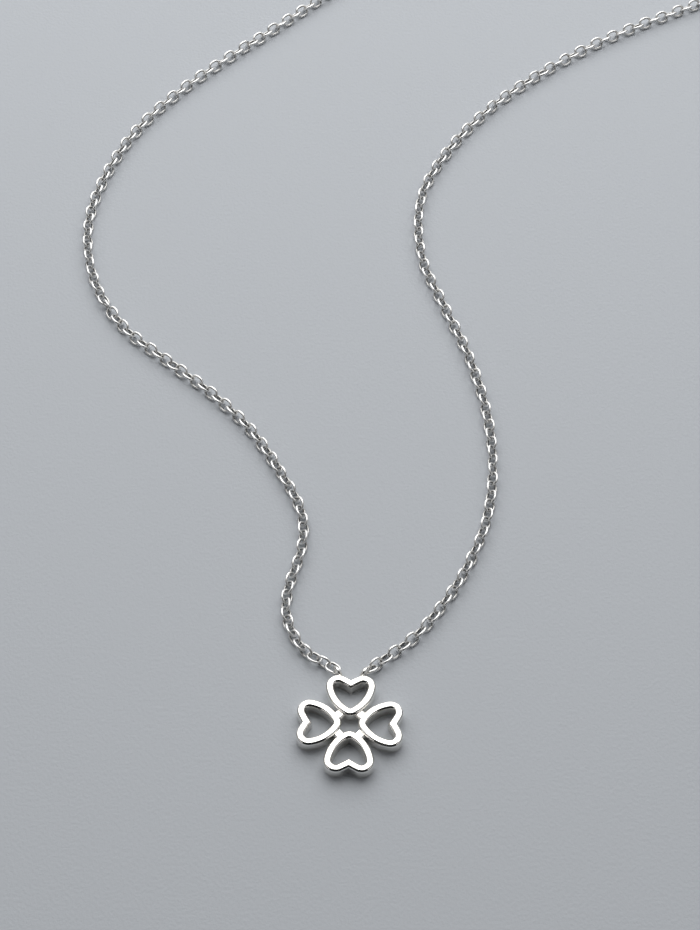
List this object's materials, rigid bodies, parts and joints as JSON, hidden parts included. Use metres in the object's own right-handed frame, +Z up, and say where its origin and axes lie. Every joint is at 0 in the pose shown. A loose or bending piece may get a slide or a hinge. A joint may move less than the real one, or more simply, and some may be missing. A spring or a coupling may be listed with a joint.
{
  "type": "clover pendant necklace",
  "caption": "Open heart clover pendant on a fine oval-link cable chain that closes with a plain barrel clasp, in polished silver, lying flat.",
  "frame": {"origin": "on the surface that the necklace lies on, in the middle of the rectangle that it covers", "axes": "+X to the right of the upright clover, +Y from the clover towards the clasp, +Z up from the surface"},
  "size_m": [0.1256, 0.1754, 0.0019],
  "materials": {
    "silver": "polished"
  },
  "bodies": {
    "root": {"clover": "silver", "clover_link_left": "silver", "clover_link_right": "silver", "chain_left": "silver", "chain_right": "silver", "clasp_link_left": "silver", "clasp_link_right": "silver", "clasp": "silver"}
  },
  "joints": []
}
